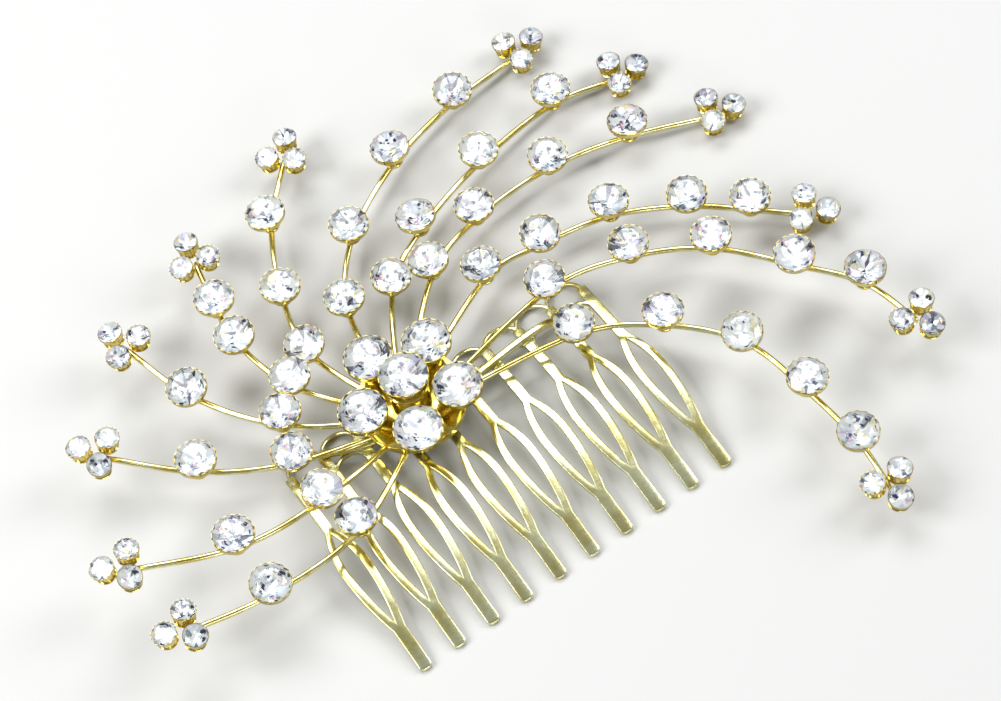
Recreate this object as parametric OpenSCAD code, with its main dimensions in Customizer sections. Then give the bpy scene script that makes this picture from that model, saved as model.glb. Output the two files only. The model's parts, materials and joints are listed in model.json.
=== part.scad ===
// Decorative hair comb: a stamped ten-tine comb that carries a spray of curved wires.
// The wires fan out from a six-stone flower. Each one carries crystals in turned cups
// and ends in a cluster of three smaller crystals.
//
// Millimetres. +X runs along the comb's back, +Y from the tine tips to the back, +Z up.
// The piece lies stones up, and z = 0 is the surface that it lies on.

/* [Comb] */
// Number of tines
tine_count = 10; // [8:2:12]
// Distance from one tine to the next
tine_pitch = 4.65; // [4.5:0.05:5.2]
// Thickness of the stamped sheet
sheet = 0.6; // [0.5:0.05:0.8]
// Width of a tine above its eye
stem_w = 1.3; // [1.1:0.1:1.6]
// Width of a tine below its eye
leg_w = 1.55; // [1.3:0.05:1.8]
// Width of each arm beside an eye
arm_w = 0.95; // [0.8:0.05:1.0]
// Width across the outside of an eye
eye_w = 3.85; // [3.5:0.05:3.9]
// Length of the stem, from the gallery to the top of the eye
stem_len = 9.8; // [8:0.2:12]
// Length of the hole in the eye
eye_len = 13.5; // [11:0.5:15]
// Length of the leg, from the end of the hole to the tip
leg_len = 6.4; // [5:0.2:8]
// Rise of the comb's middle above its ends, along a tine
comb_bow = 2; // [1:0.1:2.5]

/* [Flower] */
// Number of petal stones
petals = 5; // [4:1:5]
// Distance of a petal stone from the middle
petal_ring = 6; // [5.7:0.05:6.5]
// Direction of the first petal, in degrees from +X
petal_turn = 34; // [0:1:71]
// Size of a flower stone next to a ray stone
petal_scale = 1.2; // [1:0.05:1.22]
// Height of the middle setting above the petal settings
centre_lift = 3.2; // [3:0.1:4]

/* [Stones] */
// Diameter of a ray stone
stone_d = 5; // [4.5:0.1:5.2]
// Size of a tip stone next to a ray stone
tip_scale = 0.6; // [0.5:0.02:0.62]
// Distance of a tip stone from the middle of its cluster
tip_ring = 1.8; // [1.75:0.05:2]
// Outward lean of the stones in a tip cluster, in degrees
tip_lean = 8; // [0:1:12]

/* [Wire] */
// Diameter of a ray wire
wire_d = 0.72; // [0.6:0.02:0.8]
// Width of the mounting strap
strap_w = 1; // [0.8:0.1:1.4]
// Thickness of the mounting strap
strap_t = 0.8; // [0.5:0.05:0.9]

/* [Hidden] */
$fn = 48;
tiny = 0.02;

// Where the flower's middle lies, from the middle of the whole piece's footprint
flower_at = [-6.9, 1.9];

// Each ray: its root's direction under the flower, the height of its tip, the rise of its
// middle, then its places outwards as [distance, direction] from the flower's middle.
// The last place is the tip cluster's.
RAYS = [
    [-112, 7, -0.2, [[17.5, -143], [29, -156], [38.7, -164.5]]],
    [-136, 7.4, 1, [[16.5, -161.5], [27.2, -169.5], [39, 179.5]]],
    [-156, 5.4, -0.2, [[15.5, 173], [26.2, 163.5], [37.5, 154.5]]],
    [-177, 4.4, 0.2, [[15.5, 153.5], [26.5, 141], [36.2, 131]]],
    [160, 3.6, 0.2, [[14.7, 133.5], [23, 122.5], [28, 115.5], [34.6, 108]]],
    [138, 2.4, 0.2, [[14.7, 114.5], [22.6, 102], [32, 90.5], [40, 81]]],
    [114, 1, 0.1, [[16, 87], [25.5, 74.5], [35.2, 61], [43.8, 50.5], [52, 42]]],
    [90, 0.7, 0.2, [[16.5, 66], [24.6, 55], [35, 43.5], [45.6, 34.5], [52.5, 27]]],
    [68, 0.7, 0.4, [[18.2, 49.5], [26.6, 40], [36.3, 29.5], [45, 20.5], [54, 12.5]]],
    [45, 1.6, 0.4, [[18.8, 29], [26, 20], [34.2, 12], [41.7, 3.5], [47.4, -3], [53.2, -8]]],
    [-8, 4.2, 0.5, [[21.3, 7], [31.6, 0], [40.2, -7.5], [48, -16], [54.8, -21.5], [59.7, -28]]],
    [-27, 3.2, 0.9, [[21, -12.5], [31, -19], [39.5, -26.5], [46, -36], [52.3, -43.5], [56.7, -49]]],
];
ray_count = len(RAYS);

// The middle of the comb's back, and the point half way along the tines
comb_x = flower_at[0] + 4.2;
back_y = flower_at[1] + 1.9;
gallery_drop = 3.7;
band_w = 0.45;
arch_foot = 0.15; // how far an arch runs on into the stems beside it
gallery_dip = 0.5; // how much lower the back is at its middle, so that it rests on its two ends
tine_len = stem_len + eye_len + leg_len;
arch_r = (tine_pitch + band_w) / 2;
comb_len = tine_len + arch_r;
comb_mid_y = back_y + arch_r - comb_len / 2;

// The radius of a bow, from its span and its rise, and the height of the comb's upper face
function bow_radius(span, rise) = (span * span / 4 + rise * rise) / (2 * rise);
bow_r = bow_radius(comb_len, comb_bow);
crest_z = sheet + comb_bow;
function comb_top(y) = crest_z - bow_r + sqrt(bow_r * bow_r - pow(y - comb_mid_y, 2));
comb_back_z = comb_top(flower_at[1] - 1.4);

// The stack of soldered parts above the comb's back
strap_z = comb_back_z + strap_t / 2;
root_z = strap_z + strap_t / 2 + wire_d / 2;
plate_t = 1.2;
plate_z = root_z + wire_d / 2;
petal_z = plate_z + plate_t;
centre_z = petal_z + centre_lift;
root_ring = 3.3;

// The turned cup and the stone of a ray, about the middle of the wire that it sits on
cup_r = stone_d / 2 + 0.15;
cup_foot_r = cup_r * 0.44; // narrow, so that from the front a stone hides its own cup
wide_foot_r = cup_r * 0.78; // wider on the middle cup, on its post, and on the small cups at the tips
cup_z = 0.1;
culet_z = cup_z + 0.75;
cup_stem = 0.8; // how much taller a cup is than its stone needs, under the flower and on the rays
girdle_z = culet_z + 1.5;
girdle_t = 0.12;
table_z = girdle_z + 0.95;
table_r = stone_d * 0.29;
rim_z = girdle_z + 0.2;
groove_r = wire_d / 2 + 0.1;

// The strap's route along the comb's back, from the flower's middle
STRAP = [[-12.4, 2.2], [-8.5, 0.1], [-3.5, -1.2], [3, -1.4], [9, -0.8], [15, -0.2], [19.3, -0.3],
    [21.4, -2]];

function two_digits(i) = str(i < 9 ? "0" : "", i + 1);
function named(word) = [for (i = [0 : ray_count - 1]) str(word, two_digits(i))];

// ---- Curves ----

function unit(v) = v / norm(v);
function polar(distance, turn) = [distance * cos(turn), distance * sin(turn)];

// A ray's height at a share u of its way out: straight from root to tip, with a middle rise
function ray_height(ray, u) = root_z + (ray[1] - root_z) * u + 4 * ray[2] * u * (1 - u);

// A ray's own places in space, from its root to the middle of its tip cluster
function ray_places(ray) =
    let (out = ray[3], reach = out[len(out) - 1][0])
    [for (p = concat([[root_ring, ray[0]]], out))
        let (flat = flower_at + polar(p[0], p[1]), u = (p[0] - root_ring) / (reach - root_ring))
        [flat[0], flat[1], ray_height(ray, u)]];

// A smooth curve through places p, at t from 0 to the number of gaps between them
function place_at(p, i) = i < 0 ? 2 * p[0] - p[1]
    : i >= len(p) ? 2 * p[len(p) - 1] - p[len(p) - 2] : p[i];
function on_curve(p, t) =
    let (i = min(floor(t), len(p) - 2), s = t - i,
        a = place_at(p, i - 1), b = p[i], c = p[i + 1], d = place_at(p, i + 2))
    (2 * b + (c - a) * s + (2 * a - 5 * b + 4 * c - d) * s * s
        + (3 * b - a - 3 * c + d) * s * s * s) / 2;
function along_curve(p, t) =
    unit(on_curve(p, min(t + tiny, len(p) - 1)) - on_curve(p, max(t - tiny, 0)));

// A bar of one outline, given as [sideways, up] points, swept along the curve
module sweep(p, outline, steps) {
    n = len(outline);
    rings = (len(p) - 1) * steps;
    points = [for (k = [0 : rings])
        let (t = k / steps, go = along_curve(p, t), side = unit(cross(go, [0, 0, 1])),
            up = cross(side, go), at = on_curve(p, t))
        each [for (q = outline) at + side * q[0] + up * q[1]]];
    walls = [for (k = [0 : rings - 1], j = [0 : n - 1])
        [k * n + j, k * n + (j + 1) % n, (k + 1) * n + (j + 1) % n, (k + 1) * n + j]];
    start = [[for (j = [n - 1 : -1 : 0]) j]];
    end = [[for (j = [0 : n - 1]) rings * n + j]];
    polyhedron(points, concat(walls, start, end));
}

function wire_outline() = [for (j = [0 : 9]) wire_d / 2 * [cos(36 * j), sin(36 * j)]];
function strap_outline() = let (w = strap_w / 2, h = strap_t / 2, c = 0.15)
    [[w, c - h], [w, h - c], [w - c, h], [c - w, h], [-w, h - c], [-w, c - h], [c - w, -h],
        [w - c, -h]];

// Puts a part at place t of a curve: its x along the curve, its z away from the comb
module stand_on(p, t) {
    go = along_curve(p, t);
    translate(on_curve(p, t))
        rotate([0, -asin(go[2]), atan2(go[1], go[0])])
            children();
}

// A small sideways lean that differs from stone to stone, as on hand-soldered work
function lean(i, k) = 6 * sin(97 * i + 151 * k);

// ---- Stones and settings ----

module crystal(stem = cup_stem) {
    translate([0, 0, stem])
        rotate_extrude()
            polygon([[0, culet_z], [stone_d / 2, girdle_z], [stone_d / 2, girdle_z + girdle_t],
                [table_r, table_z], [0, table_z]]);
}

module cup(stem = cup_stem, foot_r = cup_foot_r) {
    seat_r = stone_d / 2 + tiny;
    top = girdle_z + stem;
    rotate_extrude()
        polygon([[0, cup_z], [foot_r, cup_z], [foot_r + 0.15, cup_z + 0.4],
            [cup_r - 0.05, top - 0.4], [cup_r, top], [cup_r - 0.03, rim_z + stem],
            [seat_r, rim_z + stem], [seat_r, top - tiny], [0, culet_z + stem - 2 * tiny]]);
}

module grooved_cup() {
    difference() {
        cup();
        rotate([0, 90, 0])
            cylinder(r = groove_r, h = 3 * stone_d, center = true);
    }
}

module on_ray(i) {
    places = ray_places(RAYS[i]);
    for (k = [1 : len(places) - 2])
        stand_on(places, k)
            rotate([lean(i, k), 0, 0])
                children();
}

module at_tip(i) {
    places = ray_places(RAYS[i]);
    stand_on(places, len(places) - 1)
        children();
}

// Three places round the end of a ray, one of them straight out
module trefoil() {
    for (turn = [0, 120, 240])
        rotate(turn)
            translate([tip_ring, 0, 0])
                rotate([0, tip_lean, 0])
                    scale(tip_scale)
                        children();
}

// Puts a part in the flower's middle at a height
module in_flower(z) {
    translate([flower_at[0], flower_at[1], z])
        children();
}

module round_petals() {
    in_flower(petal_z - petal_scale * cup_z)
        for (k = [0 : petals - 1])
            rotate(petal_turn + 360 / petals * k)
                translate([petal_ring, 0, 0])
                    scale(petal_scale)
                        children();
}

module in_centre() {
    in_flower(centre_z - petal_scale * cup_z)
        scale(petal_scale)
            children();
}

// ---- The comb ----

// A leaf shape across the y axis: half as wide as its width, to a point up and down
module leaf(width, up, down) {
    for (way = [[up, 1], [down, -1]]) {
        r = bow_radius(2 * way[0], width / 2);
        intersection() {
            translate([width / 2 - r, 0])
                circle(r, $fn = 96);
            translate([r - width / 2, 0])
                circle(r, $fn = 96);
            translate([-width / 2, way[1] > 0 ? 0 : -2 * way[0]])
                square([width, 2 * way[0]]);
        }
    }
}

// One tine, its stem starting at y = 0 and its tip pointing down
module tine_outline() {
    fork_y = -stem_len;
    merge_y = fork_y - eye_len;
    widest_y = fork_y - eye_len * 0.4;
    round_r = leg_w * 0.35;
    difference() {
        union() {
            translate([-stem_w / 2, fork_y - 0.5])
                square([stem_w, stem_len + 0.5]);
            translate([0, widest_y])
                leaf(eye_w, widest_y * -0.47, eye_len * 0.86);
            translate([-leg_w / 2, merge_y - leg_len + round_r])
                square([leg_w, leg_len - round_r + 0.5]);
            translate([round_r - leg_w / 2, merge_y - leg_len])
                square([leg_w - 2 * round_r, leg_len / 2]);
            for (side = [-1, 1])
                translate([side * (leg_w / 2 - round_r), merge_y - leg_len + round_r])
                    circle(round_r);
        }
        translate([0, widest_y])
            leaf(eye_w - 2 * arm_w, eye_len * 0.4, eye_len * 0.6);
    }
}

// A half ring that joins two neighbouring stems
module arch_outline(r) {
    difference() {
        circle(r);
        circle(r - band_w);
        translate([-r - 1, -2 * r - 1])
            square([2 * r + 2, 2 * r + 1]);
    }
}

module comb_outline() {
    for (i = [0 : tine_count - 1])
        translate([(i - (tine_count - 1) / 2) * tine_pitch, 0])
            tine_outline();
    for (i = [0 : tine_count - 2])
        translate([(i - (tine_count - 2) / 2) * tine_pitch, 0]) {
            translate([0, -arch_foot - gallery_dip * (1 - pow(2 * i / (tine_count - 2) - 1, 2))])
                arch_outline(arch_r);
            translate([0, -gallery_drop])
                arch_outline((tine_pitch - stem_w) / 2 + arch_foot + band_w);
        }
}

// The sheet after bowing: a slice of a thin drum whose axis lies across the tines
module bowed_sheet() {
    translate([comb_x, comb_mid_y, crest_z - bow_r])
        rotate([0, 90, 0])
            difference() {
                cylinder(r = bow_r, h = 2 * tine_count * tine_pitch, center = true, $fn = 200);
                cylinder(r = bow_r - sheet, h = 3 * tine_count * tine_pitch, center = true, $fn = 200);
            }
}

module comb() {
    color("gold")
        intersection() {
            translate([comb_x, back_y, -1])
                linear_extrude(crest_z + 2)
                    comb_outline();
            bowed_sheet();
        }
}

module mounting_strap() {
    route = [for (p = STRAP)
        let (at = flower_at + p) [at[0], at[1], comb_top(at[1]) + strap_t / 2 + tiny]];
    color("goldenrod")
        sweep(route, strap_outline(), 3);
}

// ---- The flower ----

module flower_plate() {
    color("gold")
        in_flower(plate_z)
            cylinder(r = petal_ring + 0.6, h = plate_t);
}

module petal_settings() {
    color("gold")
        round_petals()
            cup();
}

module petal_crystals() {
    color("aliceblue")
        round_petals()
            crystal();
}

module centre_post() {
    color("gold")
        in_flower(petal_z)
            cylinder(r = petal_ring - petal_scale * cup_r - 0.3, h = centre_lift);
}

module centre_setting() {
    color("gold")
        in_centre()
            cup(0, wide_foot_r);
}

module centre_crystal() {
    color("aliceblue")
        in_centre()
            crystal(0);
}

// ---- The rays ----

module ray_wire(i) {
    color("gold")
        sweep(ray_places(RAYS[i]), wire_outline(), 5);
}

module ray_settings(i) {
    color("gold")
        on_ray(i)
            grooved_cup();
}

module ray_crystals(i) {
    color("aliceblue")
        on_ray(i)
            crystal();
}

module tip_setting(i) {
    color("gold")
        at_tip(i)
            difference() {
                trefoil()
                    cup(foot_r = wide_foot_r);
                rotate([0, 90, 0])
                    cylinder(r = groove_r, h = 5 * tip_ring, center = true);
            }
}

module tip_crystals() {
    color("aliceblue")
        for (i = [0 : ray_count - 1])
            at_tip(i)
                trefoil()
                    crystal();
}

comb();
mounting_strap();
flower_plate();
petal_settings();
petal_crystals();
centre_post();
centre_setting();
centre_crystal();
for (i = [0 : ray_count - 1]) {
    ray_wire(i);
    ray_settings(i);
    ray_crystals(i);
    tip_setting(i);
}
tip_crystals();
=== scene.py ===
# %% [markdown]
# # A gold comb with a spray of crystals
# The comb is one stamped and bowed sheet with ten tines. Twelve wires fan out from a flower of
# six crystals on its back, and each wire carries crystals in cups and a trefoil of small ones.
# The engineering model gives every place and size, so it is loaded first and stays where it is.

# %% Load the frame
import json
import math
import random

import bpy
import numpy as np
from mathutils import Matrix, Vector

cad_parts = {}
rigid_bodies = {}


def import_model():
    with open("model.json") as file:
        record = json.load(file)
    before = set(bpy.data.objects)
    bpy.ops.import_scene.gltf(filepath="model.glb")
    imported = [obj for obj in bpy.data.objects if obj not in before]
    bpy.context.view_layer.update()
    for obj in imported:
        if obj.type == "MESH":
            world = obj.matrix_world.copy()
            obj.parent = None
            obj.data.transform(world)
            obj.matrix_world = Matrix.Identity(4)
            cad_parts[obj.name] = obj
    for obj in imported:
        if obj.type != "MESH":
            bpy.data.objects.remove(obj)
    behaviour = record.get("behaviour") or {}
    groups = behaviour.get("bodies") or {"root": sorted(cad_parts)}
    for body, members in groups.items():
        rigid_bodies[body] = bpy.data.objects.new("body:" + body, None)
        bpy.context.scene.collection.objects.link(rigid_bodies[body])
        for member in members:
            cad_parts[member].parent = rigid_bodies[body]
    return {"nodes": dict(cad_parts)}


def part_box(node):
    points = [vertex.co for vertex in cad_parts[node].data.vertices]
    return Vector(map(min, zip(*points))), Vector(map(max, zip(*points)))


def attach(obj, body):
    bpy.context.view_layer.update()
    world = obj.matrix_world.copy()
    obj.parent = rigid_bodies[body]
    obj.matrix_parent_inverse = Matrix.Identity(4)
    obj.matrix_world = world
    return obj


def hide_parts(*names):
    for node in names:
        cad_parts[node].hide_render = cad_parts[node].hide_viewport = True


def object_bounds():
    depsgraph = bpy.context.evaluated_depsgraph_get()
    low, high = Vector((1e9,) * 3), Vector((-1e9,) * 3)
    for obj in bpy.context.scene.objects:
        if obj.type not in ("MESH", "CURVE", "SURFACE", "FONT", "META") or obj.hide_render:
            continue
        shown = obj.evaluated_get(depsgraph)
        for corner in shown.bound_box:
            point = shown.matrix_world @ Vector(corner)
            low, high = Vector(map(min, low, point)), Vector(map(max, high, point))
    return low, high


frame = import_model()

MM = 0.001
cad_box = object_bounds()
nodes = frame["nodes"]
print("nodes:", len(nodes), "size in mm:", [round(v / MM, 1) for v in cad_box[1] - cad_box[0]])

# %% [markdown]
# ## Camera
# A piece as small as this is looked at from close by with a long lens, which keeps near and far
# stones alike in size. The camera is placed by two angles and a distance from the point that it
# aims at, and then rolled about its own axis, as when a hand-held camera is tipped.

# %% Camera
camera_azimuth = math.radians(-21)
camera_elevation = math.radians(60)
camera_roll = math.radians(15)
camera_distance = 0.328
flower_low, flower_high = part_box("flower_plate")
flower = (flower_low + flower_high) / 2
aim = flower + Vector((12.05, -0.85, 0)) * MM
aim.z = 4 * MM

back = Vector((math.sin(camera_azimuth) * math.cos(camera_elevation),
    -math.cos(camera_azimuth) * math.cos(camera_elevation), math.sin(camera_elevation)))
right = Vector((math.cos(camera_azimuth), math.sin(camera_azimuth), 0))
up = back.cross(right)
camera_x = math.cos(camera_roll) * right - math.sin(camera_roll) * up
camera_y = math.sin(camera_roll) * right + math.cos(camera_roll) * up

camera_data = bpy.data.cameras.new("camera")
camera_data.lens = 100
camera_data.sensor_width = 36
camera_data.clip_start = 0.01
camera = bpy.data.objects.new("camera", camera_data)
bpy.context.scene.collection.objects.link(camera)
camera.matrix_world = Matrix.Translation(aim + back * camera_distance) @ Matrix(
    (camera_x, camera_y, back)).transposed().to_4x4()
bpy.context.scene.camera = camera
print("camera at", [round(v, 4) for v in camera.location])

# %% [markdown]
# ## Floor and lights
# Polished metal shows little but what is around it. Four soft boxes give broad bright bands with
# dark gaps between them, and the dim room behind makes the dark parts of the gold.

# %% Floor and lights
def plain_material(name, colour, roughness):
    material = bpy.data.materials.new(name)
    material.use_nodes = True
    shader = material.node_tree.nodes["Principled BSDF"]
    shader.inputs["Base Color"].default_value = (*colour, 1)
    shader.inputs["Roughness"].default_value = roughness
    return material


bpy.ops.mesh.primitive_circle_add(vertices=64, radius=3, fill_type="NGON",
    location=(0, 0, cad_box[0].z - 0.02 * MM))
floor = bpy.context.object
floor.name = "floor"
floor.data.materials.append(plain_material("floor_paper", (0.44, 0.44, 0.435), 0.75))


def soft_box(name, azimuth, elevation, distance, width, height, power):
    """A rectangular lamp that faces the flower, azimuth 0 being the front."""
    a, e = math.radians(azimuth), math.radians(elevation)
    away = Vector((math.sin(a) * math.cos(e), -math.cos(a) * math.cos(e), math.sin(e)))
    data = bpy.data.lights.new(name, "AREA")
    data.shape = "RECTANGLE"
    data.size, data.size_y = width, height
    data.energy = power
    lamp = bpy.data.objects.new(name, data)
    bpy.context.scene.collection.objects.link(lamp)
    lamp.matrix_world = Matrix.Translation(aim + away * distance) @ (
        away.to_track_quat("Z", "Y").to_matrix().to_4x4())
    return lamp


soft_box("far_box", 165, 58, 0.55, 0.42, 0.26, 2.2)
soft_box("left_box", -105, 42, 0.55, 0.34, 0.3, 3.6)
soft_box("right_box", 75, 38, 0.6, 0.26, 0.36, 2.6)
soft_box("front_box", -10, 24, 0.7, 0.5, 0.12, 1.2)
world = bpy.data.worlds.new("room")
world.use_nodes = True
world.node_tree.nodes["Background"].inputs["Color"].default_value = (0.95, 0.98, 1, 1)
world.node_tree.nodes["Background"].inputs["Strength"].default_value = 0.34
bpy.context.scene.world = world
bpy.context.scene.view_settings.view_transform = "Standard"

# %% [markdown]
# ## Gold plate
# Light gold plate over brass is never one colour. The plate is thinner and paler where it is
# rubbed, warmer in the hollows, and the polish leaves faint waves. One node group makes the
# patterns from the place on the piece, and each gold gives it its own colours and sizes.

# %% The node group for plated metal
def link(tree, source, output, target, entry):
    tree.links.new(source.outputs[output], target.inputs[entry])


def make_plate_group():
    tree = bpy.data.node_groups.new("plated_metal", "ShaderNodeTree")
    face = tree.interface
    for name in ("Colour", "Deep Colour"):
        face.new_socket(name=name, in_out="INPUT", socket_type="NodeSocketColor")
    for name in ("Cloud Scale", "Grain Scale", "Roughness", "Spread"):
        face.new_socket(name=name, in_out="INPUT", socket_type="NodeSocketFloat")
    face.new_socket(name="Colour", in_out="OUTPUT", socket_type="NodeSocketColor")
    face.new_socket(name="Roughness", in_out="OUTPUT", socket_type="NodeSocketFloat")
    face.new_socket(name="Height", in_out="OUTPUT", socket_type="NodeSocketFloat")
    entry, leave = tree.nodes.new("NodeGroupInput"), tree.nodes.new("NodeGroupOutput")
    place = tree.nodes.new("ShaderNodeTexCoord")
    cloud, grain = tree.nodes.new("ShaderNodeTexNoise"), tree.nodes.new("ShaderNodeTexNoise")
    cloud.inputs["Detail"].default_value = 3
    grain.inputs["Detail"].default_value = 5
    grain.inputs["Roughness"].default_value = 0.65
    for noise, scale in ((cloud, "Cloud Scale"), (grain, "Grain Scale")):
        link(tree, place, "Object", noise, "Vector")
        link(tree, entry, scale, noise, "Scale")
    mask = tree.nodes.new("ShaderNodeValToRGB")
    mask.color_ramp.elements[0].position = 0.38
    mask.color_ramp.elements[1].position = 0.62
    link(tree, cloud, "Fac", mask, "Fac")
    mix = tree.nodes.new("ShaderNodeMix")
    mix.data_type = "RGBA"
    tree.links.new(mask.outputs["Color"], mix.inputs[0])
    tree.links.new(entry.outputs["Deep Colour"], mix.inputs[6])
    tree.links.new(entry.outputs["Colour"], mix.inputs[7])
    tree.links.new(mix.outputs[2], leave.inputs["Colour"])
    spread = tree.nodes.new("ShaderNodeMath")
    spread.operation = "MULTIPLY_ADD"
    tree.links.new(grain.outputs["Fac"], spread.inputs[0])
    tree.links.new(entry.outputs["Spread"], spread.inputs[1])
    tree.links.new(entry.outputs["Roughness"], spread.inputs[2])
    tree.links.new(spread.outputs[0], leave.inputs["Roughness"])
    height = tree.nodes.new("ShaderNodeMath")
    height.operation = "MULTIPLY_ADD"
    height.inputs[1].default_value = 0.25
    tree.links.new(grain.outputs["Fac"], height.inputs[0])
    tree.links.new(cloud.outputs["Fac"], height.inputs[2])
    tree.links.new(height.outputs[0], leave.inputs["Height"])
    return tree


plate_group = make_plate_group()
print("group:", plate_group.name)

# %% [markdown]
# ## Three golds
# The comb is stamped and tumbled, so it has a soft shine. The wires are drawn and then bent by
# hand, and the cups are bright from pressing, so these are smoother. A Principled shader with
# full Metallic takes the group's colour and roughness, and a Bump node takes its height.

# %% Gold materials
def gold(name, colour, deep, cloud, grain, roughness, spread, bump):
    material = bpy.data.materials.new(name)
    material.use_nodes = True
    tree = material.node_tree
    shader = tree.nodes["Principled BSDF"]
    shader.inputs["Metallic"].default_value = 1
    plate = tree.nodes.new("ShaderNodeGroup")
    plate.node_tree = plate_group
    plate.inputs["Colour"].default_value = (*colour, 1)
    plate.inputs["Deep Colour"].default_value = (*deep, 1)
    plate.inputs["Cloud Scale"].default_value = cloud
    plate.inputs["Grain Scale"].default_value = grain
    plate.inputs["Roughness"].default_value = roughness
    plate.inputs["Spread"].default_value = spread
    ripple = tree.nodes.new("ShaderNodeBump")
    ripple.inputs["Strength"].default_value = bump
    ripple.inputs["Distance"].default_value = 0.06 * MM
    link(tree, plate, "Colour", shader, "Base Color")
    link(tree, plate, "Roughness", shader, "Roughness")
    link(tree, plate, "Height", ripple, "Height")
    link(tree, ripple, "Normal", shader, "Normal")
    return material


comb_gold = gold("comb_gold", (0.76, 0.76, 0.47), (0.6, 0.54, 0.22), 260, 2600, 0.16, 0.14,
    0.5)
wire_gold = gold("wire_gold", (0.8, 0.77, 0.44), (0.6, 0.5, 0.15), 340, 3200, 0.12, 0.12,
    0.45)
setting_gold = gold("setting_gold", (0.8, 0.68, 0.24), (0.56, 0.42, 0.05), 420, 3000, 0.1, 0.12,
    0.3)
print("golds:", comb_gold.name, wire_gold.name, setting_gold.name)

# %% [markdown]
# ## Crystal
# A crystal of this kind is clear glass with a silver foil behind it. The crown is glass that
# bends the light, and the pavilion under it is a mirror. The foil is mostly its own white silver,
# with painted reflections on top: each face carries its own number, which a ramp turns to a
# painted tint of what that facet would mirror. A Voronoi pattern with cells of under half a
# millimetre paints the small splinters of dark, blue, rose and straw where the flats mirror each
# other.

# %% Crystal materials
def glass_material():
    material = bpy.data.materials.new("crystal_glass")
    material.use_nodes = True
    tree = material.node_tree
    shader = tree.nodes["Principled BSDF"]
    shader.inputs["Transmission Weight"].default_value = 1
    shader.inputs["IOR"].default_value = 1.56
    place = tree.nodes.new("ShaderNodeTexCoord")
    haze = tree.nodes.new("ShaderNodeTexNoise")
    haze.inputs["Scale"].default_value = 900
    link(tree, place, "Object", haze, "Vector")
    tint = tree.nodes.new("ShaderNodeValToRGB")
    tint.color_ramp.elements[0].color = (0.93, 0.96, 1, 1)
    tint.color_ramp.elements[1].color = (1, 1, 0.98, 1)
    link(tree, haze, "Fac", tint, "Fac")
    link(tree, tint, "Color", shader, "Base Color")
    film = tree.nodes.new("ShaderNodeMapRange")
    film.inputs["To Min"].default_value = 0
    film.inputs["To Max"].default_value = 0.04
    link(tree, haze, "Fac", film, "Value")
    link(tree, film, "Result", shader, "Roughness")
    return material


def stepped_ramp(tree, tones):
    """A ramp without blending: each tone holds from its position to the next."""
    ramp = tree.nodes.new("ShaderNodeValToRGB")
    steps = ramp.color_ramp
    steps.interpolation = "CONSTANT"
    while len(steps.elements) < len(tones):
        steps.elements.new(0.5)
    for element, (position, colour) in zip(steps.elements, tones):
        element.position, element.color = position, (*colour, 1)
    return ramp


def foil_material():
    material = bpy.data.materials.new("crystal_foil")
    material.use_nodes = True
    tree = material.node_tree
    shader = tree.nodes["Principled BSDF"]
    shader.inputs["Metallic"].default_value = 0.4
    shader.inputs["Roughness"].default_value = 0.16
    # Painted reflections: a random number per face picks a flat tint, a few faces dark, grey, blue,
    # violet or straw, the rest the foil's own white.
    facet = tree.nodes.new("ShaderNodeAttribute")
    facet.attribute_name = "facet"
    ramp = stepped_ramp(tree, [(0, (0.2, 0.21, 0.25)), (0.05, (0.6, 0.64, 0.68)),
        (0.12, (0.94, 0.96, 0.97)), (0.5, (1, 1, 1)), (0.84, (0.88, 0.92, 0.97)),
        (0.9, (0.68, 0.62, 0.86)), (0.93, (0.95, 0.86, 0.6)), (0.95, (0.95, 0.98, 1))])
    link(tree, facet, "Fac", ramp, "Fac")
    place = tree.nodes.new("ShaderNodeTexCoord")
    # Painted reflections: Voronoi cells multiply small dark, blue, rose and straw splinters into the
    # foil's colour.
    cells = tree.nodes.new("ShaderNodeTexVoronoi")
    cells.inputs["Scale"].default_value = 2400
    link(tree, place, "Object", cells, "Vector")
    parts = tree.nodes.new("ShaderNodeSeparateColor")
    link(tree, cells, "Color", parts, "Color")
    painted_splinters = stepped_ramp(tree, [(0, (0.04, 0.05, 0.1)), (0.07, (0.3, 0.34, 0.4)),
        (0.14, (0.7, 0.74, 0.78)), (0.24, (0.96, 0.98, 1)), (0.82, (0.86, 0.88, 0.9)),
        (0.9, (0.8, 0.5, 0.6)), (0.93, (0.92, 0.84, 0.5)), (0.96, (1, 1, 1))])
    link(tree, parts, "Red", painted_splinters, "Fac")
    mix = tree.nodes.new("ShaderNodeMix")
    mix.data_type, mix.blend_type = "RGBA", "MULTIPLY"
    mix.inputs[0].default_value = 1
    tree.links.new(ramp.outputs["Color"], mix.inputs[6])
    tree.links.new(painted_splinters.outputs["Color"], mix.inputs[7])
    tree.links.new(mix.outputs[2], shader.inputs["Base Color"])
    return material


crystal_glass, crystal_foil = glass_material(), foil_material()
print("crystal:", crystal_glass.name, crystal_foil.name)

# %% [markdown]
# ## Working on one piece at a time
# Blender's operators act on whatever is selected. These helpers put everything else aside, select
# by place, and copy a mesh out of the engineering model with its loose triangles merged.

# %% Helpers
def work_on(*pieces):
    if bpy.context.mode != "OBJECT":
        bpy.ops.object.mode_set(mode="OBJECT")
    for thing in bpy.context.view_layer.objects:
        thing.select_set(False)
    for piece in pieces:
        piece.select_set(True)
    bpy.context.view_layer.objects.active = pieces[0]


def edit(mode="VERT"):
    bpy.ops.object.mode_set(mode="EDIT")
    bpy.ops.mesh.select_mode(type=mode)
    bpy.ops.mesh.select_all(action="DESELECT")


def pick_faces(piece, test):
    """Selects the faces whose middle and normal pass the test, and leaves edit mode on."""
    bpy.ops.mesh.select_all(action="DESELECT")
    bpy.ops.object.mode_set(mode="OBJECT")
    for face in piece.data.polygons:
        face.select = bool(test(face.center, face.normal))
    count = sum(face.select for face in piece.data.polygons)
    bpy.ops.object.mode_set(mode="EDIT")
    return count


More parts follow.
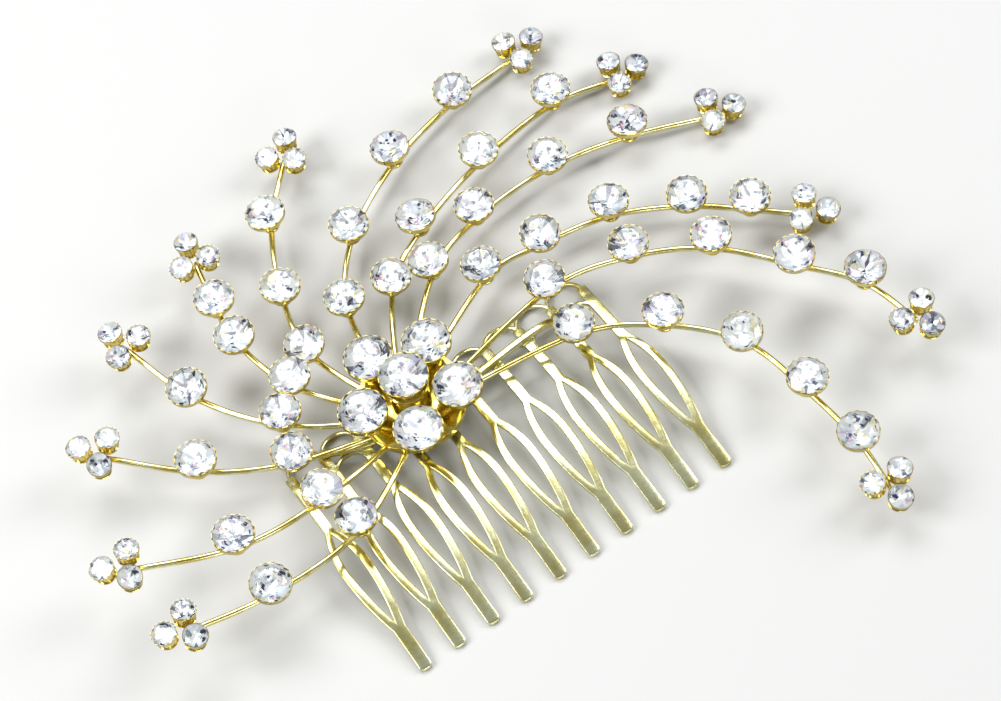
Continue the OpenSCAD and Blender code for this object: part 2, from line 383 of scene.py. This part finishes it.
def copied(node, name):
    piece = bpy.data.objects.new(name, nodes[node].data.copy())
    bpy.context.scene.collection.objects.link(piece)
    work_on(piece)
    if piece.data.has_custom_normals:
        bpy.ops.mesh.customdata_custom_splitnormals_clear()
    edit()
    bpy.ops.mesh.select_all(action="SELECT")
    bpy.ops.mesh.remove_doubles(threshold=0.002 * MM)
    bpy.ops.object.mode_set(mode="OBJECT")
    piece.data.materials.clear()
    return piece


def modified(piece, kind, **values):
    work_on(piece)
    modifier = piece.modifiers.new(kind, kind)
    for name, value in values.items():
        setattr(modifier, name, value)
    bpy.ops.object.modifier_apply(modifier=modifier.name)


def done(piece, material, slot, *replaced):
    """Gives a finished piece its material, its body and the parts that it stands for."""
    if material:
        piece.data.materials.clear()
        piece.data.materials.append(material)
    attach(piece, "root")
    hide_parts(*replaced)
    faces = len(piece.data.polygons)
    print(f"{piece.name}: {faces} faces")


# %% [markdown]
# ## One brilliant
# A stone is ground flat by flat. The blank is a short 32-sided bar, and each cut is a plane that
# takes off what lies outside it: eight mains, sixteen halves and eight stars on the crown, then
# eight mains and sixteen halves under the girdle. Its radius is 1, and copies are scaled to fit.

# %% Cut one stone
girdle_half = 0.024
crown_top = 0.356
culet_depth = 0.624
table_corner = 0.6
star_slope = 23.1
crown_half_extra, pavilion_half_extra = 7, 1.1 # how much steeper the halves are, in degrees


def cut(slope, turn, reach, height, below=False):
    """Grinds one flat: it tilts by slope towards turn, and passes through reach at height."""
    s, t = math.radians(slope), math.radians(turn)
    normal = Vector((math.sin(s) * math.cos(t), math.sin(s) * math.sin(t), math.cos(s)))
    if below:
        normal.z = -normal.z
    bpy.ops.mesh.select_all(action="SELECT")
    bpy.ops.mesh.bisect(plane_co=(reach * math.cos(t), reach * math.sin(t), height),
        plane_no=normal, use_fill=True, clear_outer=True)


bpy.ops.object.select_all(action="DESELECT")
bpy.ops.mesh.primitive_cylinder_add(vertices=32, radius=1, depth=crown_top + culet_depth,
    location=(0, 0, (crown_top - culet_depth) / 2))
stone = bpy.context.object
stone.name = "stone_pattern"
work_on(stone)
bpy.ops.object.transform_apply(location=True)
edit()
crown_slope = math.degrees(math.atan((crown_top - girdle_half) / (1 - table_corner)))
pavilion_slope = math.degrees(math.atan(culet_depth - girdle_half))
chord = math.cos(math.radians(11.25))
for k in range(8):
    cut(crown_slope, 45 * k, 1, girdle_half)
    cut(pavilion_slope, 45 * k, 1, -girdle_half, below=True)
for k in range(16):
    cut(crown_slope + crown_half_extra, 22.5 * k + 11.25, chord, girdle_half)
    cut(pavilion_slope + pavilion_half_extra, 22.5 * k + 11.25, chord, -girdle_half,
        below=True)
for k in range(8):
    cut(star_slope, 45 * k + 22.5, table_corner * math.cos(math.radians(22.5)), crown_top)
bpy.ops.object.mode_set(mode="OBJECT")
stone.data.materials.append(crystal_glass)
stone.data.materials.append(crystal_foil)
for face in stone.data.polygons:
    face.material_index = 1 if face.center.z < -girdle_half * 0.5 else 0
    face.use_smooth = False
print("one stone:", len(stone.data.polygons), "facets")

# %% [markdown]
# ## Where the stones sit
# The engineering model draws each stone as a turned shape. Its copy is split into loose stones.
# A stone is widest round its girdle and flattest along its axis, and its culet is further from
# the girdle than its table, which together give the place, the axis and the size of each one.

# %% Find the stones
def stones_of(node):
    copied(node, "measured")
    edit()
    bpy.ops.mesh.select_all(action="SELECT")
    bpy.ops.mesh.separate(type="LOOSE")
    bpy.ops.object.mode_set(mode="OBJECT")
    found = []
    parts = [p for p in bpy.context.scene.objects if p.name.startswith("measured")]
    for part in parts:
        points = np.array([v.co for v in part.data.vertices])
        offsets = points - points.mean(0)
        axis = np.linalg.svd(offsets, full_matrices=False)[2][2]
        along = offsets @ axis
        wide = np.linalg.norm(offsets - np.outer(along, axis), axis=1)
        rim = wide > 0.96 * wide.max()
        level = (along[rim].max() + along[rim].min()) / 2
        if along.max() - level > level - along.min():
            axis, level = -axis, -level
        middle = points[rim].mean(0)
        found.append((Vector(middle), Vector(axis), float(wide.max())))
    for part in parts:
        bpy.data.objects.remove(part)
    return found


stone_nodes = [n for n in sorted(nodes) if "crystal" in n]
stones = {node: stones_of(node) for node in stone_nodes}
print("stones:", sum(len(s) for s in stones.values()))

# %% [markdown]
# ## Set the stones
# Each stone is a copy of the one brilliant, turned by the golden angle so that no two neighbours
# flash alike. A random number on every face, from a fixed seed, picks the foil's painted
# reflection tint.

# %% Set the stones
chance = random.Random(11)
golden_angle = 137.5


def seat(place, turn):
    middle, axis, radius = place
    return (Matrix.Translation(middle) @ axis.to_track_quat("Z", "Y").to_matrix().to_4x4()
        @ Matrix.Rotation(turn, 4, "Z") @ Matrix.Scale(radius, 4))


def copies_of(pattern, places, name, shade=False):
    made = []
    for k, place in enumerate(places):
        mesh = pattern.data.copy()
        mesh.transform(seat(place, math.radians(golden_angle * k + 10 * len(places))))
        # Painted reflections: a random number per face, which the foil's ramp turns to a painted
        # tint.
        if shade:
            painted_facet_tints = mesh.attributes.new("facet", "FLOAT", "FACE")
            painted_facet_tints.data.foreach_set("value", [chance.random() for _ in mesh.polygons])
        piece = bpy.data.objects.new(f"{name}_{k}", mesh)
        bpy.context.scene.collection.objects.link(piece)
        made.append(piece)
    work_on(*made)
    if len(made) > 1:
        bpy.ops.object.join()
    made[0].name = name
    return made[0]


for node in stone_nodes:
    done(copies_of(stone, stones[node], "cut_" + node, shade=True), None, "crystal", node)
bpy.data.objects.remove(stone)

# %% [markdown]
# ## One cup
# A crystal is held in a pressed cup: a foot ring, a fluted wall that catches light in upright
# bars, and a thin rim rolled against the girdle. The wall starts as a disc that is extruded and
# widened ring by ring. The panels between the flutes are then inset and pushed in. The rays and
# petals have tall cups that taper to a narrow foot, so that from the front the stone hides its
# cup. The tips have tall cups and the middle stone a short one, both with a wide foot. So the
# foot's depth and radius are values.

# %% Press one cup
cup_columns = 48
flutes = 12
narrow_foot, wide_foot = 0.44, 0.83
shoulder = 0.946 # the wall's radius under the rim, before the foot's own steps
steps_below_girdle = 0.474 # what the rings other than the wall take up of the depth


def next_ring(dz, ratio):
    bpy.ops.mesh.extrude_region_move(TRANSFORM_OT_translate={"value": (0, 0, dz)})
    bpy.ops.transform.resize(value=(ratio, ratio, 1))


def press_cup(name, depth, foot):
    """A cup whose foot, of radius foot, lies depth under the girdle of a stone of radius 1."""
    for thing in bpy.context.view_layer.objects:
        thing.select_set(False)
    bpy.ops.mesh.primitive_circle_add(vertices=cup_columns, radius=foot, fill_type="NGON",
        location=(0, 0, -depth))
    cup = bpy.context.object
    cup.name = name
    work_on(cup)
    bpy.ops.object.transform_apply(location=True)
    edit("FACE")
    bpy.ops.mesh.select_all(action="SELECT")
    wall = depth - steps_below_girdle
    for dz, ratio in ((0.03, 1.03), (0.09, 1.0), (0.03, 0.955), (0.05, 1.03), (wall, shoulder / foot),
            (0.05, 1.03), (0.2, 1.0), (0.04, 1.01), (0.02, 0.985)):
        next_ring(dz, ratio)
    bpy.ops.mesh.inset(thickness=0.035)
    next_ring(-0.09, 1.0)
    next_ring(-0.62, 0.03)
    bpy.ops.mesh.select_all(action="SELECT")
    bpy.ops.mesh.normals_make_consistent(inside=False)

    def on_panel(middle, normal):
        """The wall between two flutes: three columns in every four."""
        column = int((math.degrees(math.atan2(middle.x, middle.y)) % 360) / (360 / cup_columns))
        upright = abs(normal.z) < 0.75 and normal.xy.dot(middle.xy) > 0
        between = -depth + 0.22 < middle.z < -0.28
        return upright and between and column % (cup_columns // flutes) != 0

    panels = pick_faces(cup, on_panel)
    bpy.ops.mesh.inset(thickness=0.018)
    bpy.ops.transform.resize(value=(0.93, 0.93, 1), center_override=(0, 0, 0))
    bpy.ops.object.mode_set(mode="OBJECT")
    bpy.ops.object.shade_smooth_by_angle(angle=math.radians(32))
    print(f"{name}: {len(cup.data.polygons)} faces, {panels} on the panels")
    return cup


def cup_depth(settings, places):
    """How far under the girdle the foot lies, in stone radii, measured on the node."""
    points = np.array([v.co for v in nodes[settings].data.vertices])
    middle, axis, radius = places[0]
    offsets = points - np.array(middle)
    along = offsets @ np.array(axis)
    aside = np.linalg.norm(offsets - np.outer(along, np.array(axis)), axis=1)
    own = along[aside < 1.1 * radius]
    return float(-own.min()) / radius


tall_depth = cup_depth("petal_settings", stones["petal_crystals"])
short_depth = cup_depth("centre_setting", stones["centre_crystal"])
print("cup depths in stone radii:", round(tall_depth, 3), round(short_depth, 3))
tall_cup = press_cup("tall_cup", tall_depth, narrow_foot)
short_cup = press_cup("short_cup", short_depth, wide_foot)
tip_cup = press_cup("tip_cup", tall_depth, wide_foot)

# %% [markdown]
# ## Set the cups
# Every stone sits in a cup on the same axis, scaled by the same radius, so the places found for
# the stones serve again.

# %% Set the cups
cup_of = {"petal_crystals": ["petal_settings"], "centre_crystal": ["centre_setting"],
    "tip_crystals": [n for n in sorted(nodes) if n.startswith("tip_setting")]}
for node in stone_nodes:
    owners = cup_of.get(node) or [node.replace("crystals", "settings")]
    pattern = {"centre_crystal": short_cup, "tip_crystals": tip_cup}.get(node, tall_cup)
    done(copies_of(pattern, stones[node], "pressed_" + owners[0]), setting_gold, "setting_gold",
        *owners)
for pattern in (tall_cup, short_cup, tip_cup):
    bpy.data.objects.remove(pattern)

# %% [markdown]
# ## Comb
# The comb was stamped from sheet and tumbled, which rounds its edges so that each one draws a
# bright line. On a copy of the exact shape, a small bevel on every sharp edge does the rounding.

# %% Comb
edge_round = 0.11 * MM
comb = copied("comb", "stamped_comb")
modified(comb, "BEVEL", width=edge_round, segments=2, limit_method="ANGLE",
    angle_limit=math.radians(50), use_clamp_overlap=False, loop_slide=False)
work_on(comb)
bpy.ops.object.shade_smooth_by_angle(angle=math.radians(40))
done(comb, comb_gold, "comb_gold", "comb")

# %% [markdown]
# ## Wires and strap
# The rays are round wire bent by hand over the crest of the comb, and a flat strap lies under
# them. The engineering model has them as straight facets. Turning the triangles back to quads
# and subdividing gives smooth bends, once for a wire and twice for the strap. Each wire is
# swelled a little first, because smoothing draws it thinner.

# %% Wires and strap
wire_swell = 0.035 * MM
quad_angle = math.radians(60)
for node in [n for n in sorted(nodes) if n.startswith("ray_wire")]:
    wire = copied(node, node.replace("ray_wire", "bent_wire"))
    edit()
    bpy.ops.mesh.select_all(action="SELECT")
    bpy.ops.mesh.tris_convert_to_quads(face_threshold=quad_angle,
        shape_threshold=quad_angle)
    bpy.ops.transform.shrink_fatten(value=wire_swell)
    bpy.ops.object.mode_set(mode="OBJECT")
    modified(wire, "SUBSURF", levels=1, render_levels=1)
    bpy.ops.object.shade_smooth()
    done(wire, wire_gold, "wire_gold", node)

strap = copied("mounting_strap", "bent_strap")
edit()
bpy.ops.mesh.select_all(action="SELECT")
bpy.ops.mesh.tris_convert_to_quads(face_threshold=quad_angle,
    shape_threshold=quad_angle)
bpy.ops.object.mode_set(mode="OBJECT")
modified(strap, "SUBSURF", levels=2, render_levels=2)
bpy.ops.object.shade_smooth()
done(strap, wire_gold, "comb_gold", "mounting_strap")

# %% [markdown]
# ## Solder
# Every wire is soldered where it leaves the flower. Solder flows before it sets, so a bead is a
# low, uneven drop. Each starts as a small ball that is flattened and then dented by a noise.

# %% Solder beads
def wire_root(node):
    """The middle of the wire's end nearest to the flower's middle."""
    points = np.array([v.co for v in nodes[node].data.vertices])
    away = np.linalg.norm(points[:, :2] - np.array(flower.xy), axis=1)
    return Vector(points[away < away.min() + 0.5 * MM].mean(0))


dents = bpy.data.textures.new("solder_dents", "CLOUDS")
dents.noise_scale = 0.7 * MM
beads = []
for k, node in enumerate(n for n in sorted(nodes) if n.startswith("ray_wire")):
    root = wire_root(node)
    out = (root - flower).xy.normalized()
    spot = root + Vector((*out, 0)) * 2.6 * MM
    for thing in bpy.context.view_layer.objects:
        thing.select_set(False)
    bpy.ops.mesh.primitive_ico_sphere_add(subdivisions=3, radius=(0.62 + 0.1 * (k % 3)) * MM,
        location=spot)
    bead = bpy.context.object
    bpy.ops.transform.resize(value=(1, 1, 0.7))
    bpy.ops.object.transform_apply(location=True, rotation=True, scale=True)
    modified(bead, "DISPLACE", texture=dents, texture_coords="LOCAL", strength=0.22 * MM)
    bpy.ops.object.shade_smooth()
    beads.append(bead)
work_on(*beads)
bpy.ops.object.join()
beads[0].name = "solder_beads"
done(beads[0], wire_gold, "wire_gold")

# %% [markdown]
# ## Plate and post
# The flower's plate and the post under its middle stone are plain turned parts that show only
# between the stones. A softened edge and the gold of the cups are all that they need.

# %% Plate and post
for node in ("flower_plate", "centre_post"):
    turned = copied(node, "turned_" + node)
    modified(turned, "BEVEL", width=0.12 * MM, segments=2, limit_method="ANGLE",
        angle_limit=math.radians(50), loop_slide=False)
    work_on(turned)
    bpy.ops.object.shade_smooth_by_angle(angle=math.radians(40))
    done(turned, setting_gold, "setting_gold", node)
